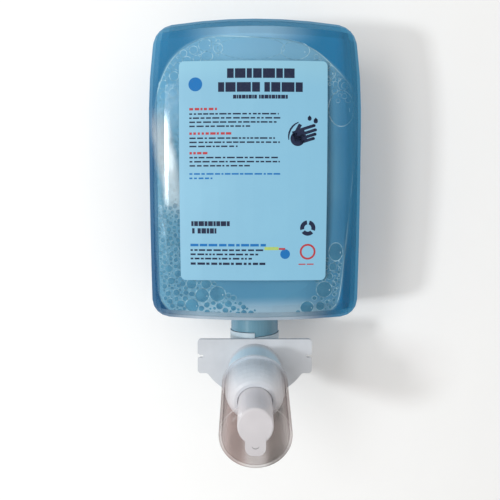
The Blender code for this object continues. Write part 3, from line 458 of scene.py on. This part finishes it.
# The wet line where the liquid's edge meets the wall, all round the pocket. Halving
# finds the outline on each point's way out from the middle.
bm = bmesh.new()
rim(bm, Matrix(), 1.0, 0.28, 0.12 * MM, 160)
for vert in bm.verts:
    out = Vector((vert.co.x, vert.co.y))
    offset = out.length - 1.0
    out.normalize()
    near, far = 20.0, 100.0
    for halving in range(20):
        middle = (near + far) / 2.0
        near, far = (middle, far) if pocket_reach(*(out * middle)) < 1.0 else (near, middle)
    vert.co.x, vert.co.y = out * ((near + offset) * MM)
drape(bm, "hand_soap", 0.05 * MM)
edge_film = film("meniscus_film", (0.28, 0.50, 0.64), (0.54, 0.72, 0.81), patchiness=45.0, cover=0.2)
as_piece("pocket_edge", bm, edge_film, "pack")


# Front label: a blue plastic film with a satin face, stuck on the crowned front
# wall. It is a little paler to the right and near the bottle's base.
sticker = Look("label_film")
across, along, up = sticker.axes()
sheen = sticker.noise(45.0, 3.0)
fibre = sticker.noise(1500.0, 2.0)
paper = sticker.mix((0.225, 0.475, 0.645), (0.23, 0.51, 0.70), across.step(-36.0 * MM, 38.0 * MM))
paper = sticker.mix(paper, (0.27, 0.55, 0.70), along.step(40.0 * MM, 56.0 * MM) * 0.8)
paper = sticker.mix(paper, (0.25, 0.53, 0.70), sheen.step(0.45, 0.7) * 0.3)
dress(sticker.show(sticker.solid(Base_Color=paper, Roughness=0.36 + sheen * 0.16,
                                 Normal=sticker.bump(fibre, 0.02 * MM, 0.4))), "front_label")


# Print on the label: thin satin ink in four colours, which follows the film's curve.
# Its places and sizes are in millimetres, and small print starts at one margin.
PRINT_LEFT = -33.2
PRINT_RIGHT = 12.8
LINE_STEP = 2.05
BAR_STEP = 3.0
BAND_STEP = 12.0


def ink(name, colour):
    look = Look(name)
    wear = look.noise(900.0, 3.0)
    tone = look.mix(colour, tuple(0.9 * part + 0.015 for part in colour), wear.step(0.45, 0.8))
    return look.show(look.solid(Base_Color=tone, Roughness=0.5 + wear * 0.2,
                                Specular_IOR_Level=0.25))


def bar(bm, low, high, turn=0.0):
    """A flat bar between two corners, cut finely enough to follow the label."""
    width, height = high[0] - low[0], high[1] - low[1]
    middle = Matrix.Translation(((low[0] + high[0]) / 2.0, (low[1] + high[1]) / 2.0, 0.0))
    columns = max(1, math.ceil(width / BAR_STEP))
    rows = max(1, math.ceil(height / BAR_STEP))
    size = Matrix.Diagonal((width, height, 1.0, 1.0))
    spin = Matrix.Rotation(math.radians(turn), 4, "Z")
    bmesh.ops.create_grid(bm, x_segments=columns, y_segments=rows, size=0.5,
                          matrix=middle @ spin @ size)


def disc(bm, centre, radius):
    bmesh.ops.create_circle(bm, cap_ends=True, segments=24, radius=radius,
                            matrix=Matrix.Translation((*centre, 0.0)))


def band(bm, centre, radius, width, start, end, taper=0.0):
    """A curved band from one angle to another, in degrees, narrowing at its ends by taper."""
    steps = max(4, int((end - start) / BAND_STEP))
    verts = bmesh.ops.create_grid(bm, x_segments=steps, y_segments=1, size=0.5)["verts"]
    for vert in verts:
        turn = math.radians(start + (end - start) * (vert.co.x + 0.5))
        thin = 1.0 - taper * (2.0 * vert.co.x) ** 2
        far = radius + width * thin * vert.co.y
        vert.co = Vector((centre[0] + far * math.cos(turn), centre[1] + far * math.sin(turn), 0.0))


def line_of_words(bm, left, right, low, height, chance, least=1.6, most=6.5):
    """A row of short bars of uneven length, as a line of small print looks."""
    start = left
    while start < right:
        end = min(start + chance.uniform(least, most), right)
        if end - start > 0.5:
            bar(bm, (start, low), (end, low + height))
        start = end + chance.uniform(0.55, 0.95)


def heading(bm, left, right, low, height, count):
    """A word of a heading: a close row of blocks of one height and uneven width."""
    shares = [(1.0, 1.35, 0.8, 1.2, 0.65)[(place + count) % 5] for place in range(count)]
    start = left
    for share in shares:
        width = (right - left) * share / sum(shares)
        bar(bm, (start, low), (start + width - 0.13 * height, low + height))
        start += width


def drop(bm, centre, radius):
    disc(bm, centre, radius)
    bar(bm, (centre[0] - 0.68 * radius, centre[1] + 0.02 * radius),
        (centre[0] + 0.68 * radius, centre[1] + 1.38 * radius), 45.0)


def printed(name, material, draw):
    """Draws flat shapes in millimetres and drapes them on the label."""
    bm = bmesh.new()
    draw(bm)
    bmesh.ops.scale(bm, verts=bm.verts, vec=(MM, MM, MM))
    bmesh.ops.recalc_face_normals(bm, faces=bm.faces)
    bmesh.ops.reverse_faces(bm, faces=[face for face in bm.faces if face.normal.z < 0.0])
    drape(bm, "front_label", 0.03 * MM)
    as_piece(name, bm, material, "pack")


def navy_print(bm):
    chance = random.Random(7)
    heading(bm, -14.1, 20.4, 46.6, 4.8, 7)
    heading(bm, -18.6, 3.0, 39.7, 4.8, 4)
    heading(bm, 4.6, 24.5, 39.7, 4.8, 4)
    heading(bm, -11.1, 1.1, 36.3, 1.9, 8)
    heading(bm, 1.9, 16.6, 36.3, 1.9, 9)

    # Three paragraphs: where the top line of each lies, and how many lines it has.
    for top, count in ((28.4, 4), (16.3, 3), (6.6, 3)):
        for row in range(count):
            short = chance.uniform(8.0, 24.0) if row == count - 1 else chance.uniform(0.0, 3.0)
            line_of_words(bm, PRINT_LEFT, PRINT_RIGHT - short, top - row * LINE_STEP, 0.75, chance,
                          1.0, 4.2)

    # A washing hand: palm, thumb, four fingers with round tips, and the other hand's
    # edge, with two drops above it.
    disc(bm, (21.4, 16.4), 3.7)
    bar(bm, (19.2, 15.2), (25.4, 21.0), 18.0)
    bar(bm, (17.6, 19.6), (24.6, 21.4), 62.0)
    for finger in range(4):
        x, y = 26.3 + (0.6, 1.3, 1.1, 0.3)[finger], 22.0 - 2.15 * finger
        bar(bm, (x - 4.2, y - 0.75), (x + 3.2, y + 0.75), 18.0)
        disc(bm, (x + 2.8, y + 1.0), 0.75)
    band(bm, (24.8, 17.2), 8.0, 0.9, 112.0, 190.0, 0.5)
    drop(bm, (27.4, 26.4), 1.0)
    drop(bm, (30.5, 25.2), 1.1)

    # Below it a smaller heading and a ring of three parts, with small print under them.
    heading(bm, -32.6, -12.6, -27.6, 2.5, 9)
    heading(bm, -32.2, -30.6, -31.4, 2.7, 1)
    heading(bm, -29.4, -19.4, -31.4, 2.7, 5)
    for step in range(3):
        band(bm, (26.9, -28.6), 2.9, 2.1, 98.0 + 120.0 * step, 196.0 + 120.0 * step)
    for row in range(3):
        line_of_words(bm, PRINT_LEFT, 4.6 - 3.0 * row, -40.4 - 2.2 * row, 0.9, chance, 0.9, 4.0)
    line_of_words(bm, PRINT_LEFT, 6.2, -47.6, 1.2, chance, 1.2, 4.5)


def red_print(bm):
    chance = random.Random(12)
    line_of_words(bm, PRINT_LEFT, -19.2, 30.6, 1.2, chance, 1.0, 3.0)
    line_of_words(bm, PRINT_LEFT, -12.0, 18.4, 1.2, chance, 1.0, 3.0)
    line_of_words(bm, PRINT_LEFT, -23.0, 8.6, 1.2, chance, 1.0, 3.0)
    band(bm, (27.0, -40.8), 3.6, 1.0, 0.0, 360.0)
    line_of_words(bm, 22.4, 30.2, -47.6, 0.6, chance)
    bar(bm, (12.2, -39.8), (15.4, -38.8))


def blue_print(bm):
    chance = random.Random(21)
    line_of_words(bm, -33.3, 12.6, -1.6, 0.8, chance, 1.0, 4.2)
    line_of_words(bm, -33.3, -21.6, -3.8, 0.8, chance, 1.0, 4.2)
    line_of_words(bm, PRINT_LEFT, 5.9, -38.0, 1.3, chance, 1.4, 4.6)
    disc(bm, (-30.1, 43.6), 3.5)
    disc(bm, (15.4, -42.0), 2.5)


def yellow_print(bm):
    bar(bm, (4.8, -39.9), (12.0, -38.3))


printed("label_print_navy", ink("ink_navy", (0.008, 0.016, 0.05)), navy_print)
printed("label_print_red", ink("ink_red", (0.46, 0.05, 0.06)), red_print)
printed("label_print_blue", ink("ink_blue", (0.008, 0.16, 0.46)), blue_print)
printed("label_print_yellow", ink("ink_yellow", (0.42, 0.58, 0.16)), yellow_print)


# Moulded pump parts: satin plastic, white or greyed, that only snap together. They
# stand on one axis, which leans forward from the plate's front.
PUMP_TILT = math.radians(15.0)
PUMP_FOOT = Vector((0.0, -108.2 * MM, 50.3 * MM))
pump_frame = Matrix.Translation(PUMP_FOOT) @ Matrix.Rotation(PUMP_TILT, 4, "X")


def moulded(name, colour, roughness, painted_blue_light=0.0):
    """Satin plastic, with painted light: a blue tint on its upper end for light off the blue soap."""
    look = Look(name)
    drift = look.noise(85.0, 3.0)
    fine = look.noise(2400.0, 2.0)
    tone = look.mix(tuple(0.93 * part for part in colour), colour, drift.step(0.3, 0.7))
    across, along, up = look.axes()
    near_soap = along.step(-113.0 * MM, -97.0 * MM) * up.step(50.5 * MM, 56.0 * MM)
    # Painted light: blue from the soap, painted on the end nearest it.
    tone = look.mix(tone, (0.50, 0.69, 0.82), near_soap * painted_blue_light)
    return look.show(look.solid(Base_Color=tone, Roughness=roughness + drift * 0.1,
                                Normal=look.bump(fine, 0.02 * MM, 0.35)))


dress(moulded("collar_white", (0.50, 0.61, 0.68), 0.34), "neck_collar")
dress(moulded("housing_grey", (0.60, 0.625, 0.665), 0.36, 0.9), "pump_housing")
dress(moulded("retainer_white", (0.80, 0.83, 0.87), 0.28, 0.5), "barrel_retainer")
dress(moulded("head_grey", (0.755, 0.755, 0.785), 0.26), "pump_head")
dress(moulded("natural_plastic", (0.62, 0.66, 0.68), 0.3), "pump_cylinder")
dress(moulded("inner_white", (0.75, 0.75, 0.76), 0.35),
      "piston_stem", "air_piston", "mesh_sleeve")
dress(moulded("pale_silicone", (0.58, 0.62, 0.64), 0.55), "neck_seal", "vent_valve",
      "cylinder_seal", "inlet_valve", "liquid_piston", "air_valve", "outlet_valve")


# Return spring: drawn steel wire wound in 5.5 turns. It stands on the cylinder's
# floor and shortens as the pump head is pressed.
SPRING_WIRE = 0.35 * MM
SPRING_TURNS = 5.5
STEPS_PER_TURN = 14
wound = [pump_frame.inverted() @ nodes["return_spring"].matrix_world @ vert.co
         for vert in nodes["return_spring"].data.vertices]
spring_low, spring_high = min(spot.z for spot in wound), max(spot.z for spot in wound)
coil_radius = max(math.hypot(spot.x, spot.y) for spot in wound) - SPRING_WIRE
spring_length = spring_high - spring_low
steps = round(SPRING_TURNS * STEPS_PER_TURN)
bm = bmesh.new()
start = Matrix.Translation((coil_radius, 0.0, spring_low + SPRING_WIRE))
bmesh.ops.create_circle(bm, cap_ends=True, segments=8, radius=SPRING_WIRE,
                        matrix=start @ Matrix.Rotation(math.radians(90.0), 4, "X"))
bmesh.ops.spin(bm, geom=bm.verts[:] + bm.edges[:] + bm.faces[:], cent=(0.0, 0.0, 0.0),
               axis=(0.0, 0.0, 1.0), dvec=(0.0, 0.0, (spring_length - 2.0 * SPRING_WIRE) / steps),
               angle=2.0 * math.pi * SPRING_TURNS, steps=steps)
bmesh.ops.transform(bm, matrix=pump_frame, verts=bm.verts)
bmesh.ops.recalc_face_normals(bm, faces=bm.faces)
wire = Look("spring_steel")
draw_lines = wire.noise(1800.0, 3.0, (1.0, 1.0, 0.1))
wire.show(wire.solid(Base_Color=wire.mix((0.48, 0.48, 0.50), (0.64, 0.64, 0.66), draw_lines),
                     Metallic=1.0, Roughness=0.24 + draw_lines * 0.16))
coil = as_piece("spring_coil", bm, wire.material, "pack")
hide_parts("return_spring")
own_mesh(coil)


# Meshes: a coarse and a fine disc of woven nylon, welded across the ends of their
# sleeve. They break the soap and air into foam.
weave = Look("nylon_weave")
threads = weave.node("TexWave", {"bands_direction": "X"},
                     {"Vector": weave.place(), "Scale": 1400.0, "Distortion": 0.4})
dress(weave.show(weave.solid(Base_Color=weave.mix((0.55, 0.55, 0.54), (0.82, 0.82, 0.80), threads),
                             Roughness=0.6, Normal=weave.bump(threads, 0.05 * MM))),
      "mesh_coarse", "mesh_fine")


# Crescent mark: a small dark grey crescent on the spout's face. It is drawn in millimetres.
CRESCENT_PLACE = (0.0, -129.4)
CRESCENT_RADIUS = 2.0
bm = bmesh.new()
band(bm, CRESCENT_PLACE, CRESCENT_RADIUS, 0.45, 205.0, 335.0, 0.7)
bmesh.ops.scale(bm, verts=bm.verts, vec=(MM, MM, MM))
drape(bm, "pump_head", 0.02 * MM)
as_piece("spout_crescent_mark", bm, moulded("crescent_dark_grey", (0.30, 0.31, 0.33), 0.5), "pump_stack")


# Transit cap: clear thin-walled plastic pushed over the barrel. Its front is clearest, and its
# deep lower side carries painted shade: a smoky tint, browner left and greyer right, lighter at
# its lip. Places on it are measured from the pump's axis, height across it and outward along.
shell = Look("clear_cap_wall")
across, along, up = shell.axes()
height = (along - PUMP_FOOT.y) * math.cos(PUMP_TILT) + (up - PUMP_FOOT.z) * math.sin(PUMP_TILT)
outward = (up - PUMP_FOOT.z) * math.cos(PUMP_TILT) - (along - PUMP_FOOT.y) * math.sin(PUMP_TILT)
streaks = shell.noise(55.0, 3.0, (1.0, 1.0, 0.3))
from_axis = (across * across + height * height) ** 0.5
deep_part = (1.0 - outward.step(50.0 * MM, 56.0 * MM)).math("MAXIMUM", from_axis.step(14.2 * MM, 16.2 * MM))
lip_light = (height * -1.0).step(14.0 * MM, 16.5 * MM) * (1.0 - abs(across).step(3.0 * MM, 9.0 * MM))
# Painted shade: a smoky tint on the clear wall that darkens what shows through it.
painted_shade = (1.0 - height.step(-13.5 * MM, -0.5 * MM)) * deep_part * (1.0 - lip_light * 0.6)
clear_side = clear_wall(shell, (0.965, 0.955, 0.955), (0.60, 0.55, 0.54), start=0.55, end=0.98)
brown_side = clear_wall(shell, (0.67, 0.58, 0.56), (0.56, 0.485, 0.465), start=0.5, end=0.97)
grey_side = clear_wall(shell, (0.35, 0.34, 0.33), (0.31, 0.30, 0.29), start=0.5, end=0.97)
greyness = (across - height).step(6.0 * MM, 24.0 * MM) * 0.8 + streaks.step(0.42, 0.62) * 0.4 - 0.15
shade_tinted_side = shell.blend(greyness, brown_side, grey_side)
dress(glossed(shell, shell.blend(painted_shade, clear_side, shade_tinted_side), shine=0.025, edge_shine=0.10,
              ripple=0.05 * MM, roughness=0.025), "transit_cap")

# Where its side folds into its rounded front, a thin round line shows the fold. Its dark and
# pale patches are painted shade and painted highlight, and it is left out over the pump head.
CAP_FRONT = 59.7 * MM
CAP_ROUNDING = 4.2 * MM
FOLD_RADIUS = 16.7 * MM
fold_place = pump_frame @ Matrix.Translation((0.0, 0.0, CAP_FRONT - CAP_ROUNDING))
bm = bmesh.new()
rim(bm, fold_place, FOLD_RADIUS, 0.16 * MM, 0.12 * MM, 72)
crease = Look("fold_line")
patches = crease.noise(60.0, 2.0)
beside_head = abs(crease.axes()[0]).step(7.0 * MM, 10.0 * MM)
fold_painted_light = crease.mix((0.40, 0.36, 0.36), (0.80, 0.77, 0.76), patches.step(0.3, 0.7))
crease.show(crease.solid(Base_Color=fold_painted_light,
                         Roughness=0.2 + patches * 0.1,
                         Alpha=beside_head * (patches.step(0.3, 0.6) * 0.35 + 0.3)))
as_piece("cap_fold", bm, crease.material, "transit_cap")


# Floor: a wide pale board with a matt face, a hair's breadth under the pack, which
# lies on it and throws its shadow there.
FLOOR_REACH = 2.5
FLOOR_DROP = 0.2 * MM
bm = bmesh.new()
bmesh.ops.create_grid(bm, x_segments=2, y_segments=2, size=FLOOR_REACH)
floor_mesh = bpy.data.meshes.new("floor")
bm.to_mesh(floor_mesh)
bm.free()
floor = bpy.data.objects.new("floor", floor_mesh)
floor.location.z = -FLOOR_DROP
bpy.context.collection.objects.link(floor)
board = Look("pale_board")
speck = board.noise(40.0, 3.0)
floor_mesh.materials.append(board.show(board.solid(
    Base_Color=board.mix((0.955, 0.955, 0.955), (0.975, 0.975, 0.975), speck), Roughness=0.9,
    Specular_IOR_Level=0.1)))


# Light: a white room, one soft window up on the left, and a lamp that draws the
# pump's shadow on its plate. The room's light is faintly warm and theirs is cool.
ROOM_LIGHT = 0.80
ROOM_TINT = (0.81, 0.79, 0.765)
LAMP_TINT = (0.94, 0.98, 1.0)
world = bpy.data.worlds.new("white_room")
world.use_nodes = True
bpy.context.scene.world = world
tree = world.node_tree
tree.nodes.clear()
rays = tree.nodes.new("ShaderNodeLightPath")
seen = rays.outputs["Is Camera Ray"]
for kind in ("Is Glossy Ray", "Is Transmission Ray"):
    either = tree.nodes.new("ShaderNodeMath")
    either.operation = "MAXIMUM"
    tree.links.new(seen, either.inputs[0])
    tree.links.new(rays.outputs[kind], either.inputs[1])
    seen = either.outputs[0]
strength = tree.nodes.new("ShaderNodeMapRange")
strength.inputs["To Min"].default_value = ROOM_LIGHT
strength.inputs["To Max"].default_value = 1.0
tree.links.new(seen, strength.inputs["Value"])
room = tree.nodes.new("ShaderNodeBackground")
room.inputs["Color"].default_value = (*ROOM_TINT, 1.0)
tree.links.new(strength.outputs[0], room.inputs["Strength"])
sky = tree.nodes.new("ShaderNodeOutputWorld")
tree.links.new(room.outputs[0], sky.inputs["Surface"])


def area_light(name, aim, distance, width, depth, energy):
    """A rectangular soft light, in metres and watts, that looks at the pack's middle."""
    light = bpy.data.lights.new(name, "AREA")
    light.shape = "RECTANGLE"
    light.size, light.size_y, light.energy = width, depth, energy
    light.color = LAMP_TINT
    place = bpy.data.objects.new(name, light)
    aim = Vector(aim).normalized()
    pack_middle = Vector((0.0, 0.0, 50.0 * MM))
    place.location = pack_middle + distance * aim
    place.rotation_euler = aim.to_track_quat("Z", "Y").to_euler()
    bpy.context.collection.objects.link(place)


area_light("window", (-0.49, 0.115, 0.86), distance=1.1, width=0.58, depth=0.24, energy=2.6)
area_light("lamp", (-0.66, -0.12, 0.74), distance=0.9, width=0.09, depth=0.09, energy=2.9)


# Camera: close above the pack and level with the lower part of its label, tipped
# slightly towards its pump.
CAMERA_PLACE = (-2.6 * MM, -15.0 * MM, 369.0 * MM)
CAMERA_TIP = math.radians(-4.7)
FOCAL_LENGTH = 42.62
SENSOR_WIDTH = 36.0
lens = bpy.data.cameras.new("camera")
lens.sensor_width = SENSOR_WIDTH
lens.lens = FOCAL_LENGTH
camera = bpy.data.objects.new("camera", lens)
camera.location = CAMERA_PLACE
camera.rotation_euler = (CAMERA_TIP, 0.0, 0.0)
bpy.context.collection.objects.link(camera)
bpy.context.scene.camera = camera
bpy.context.scene.view_settings.view_transform = "Standard"
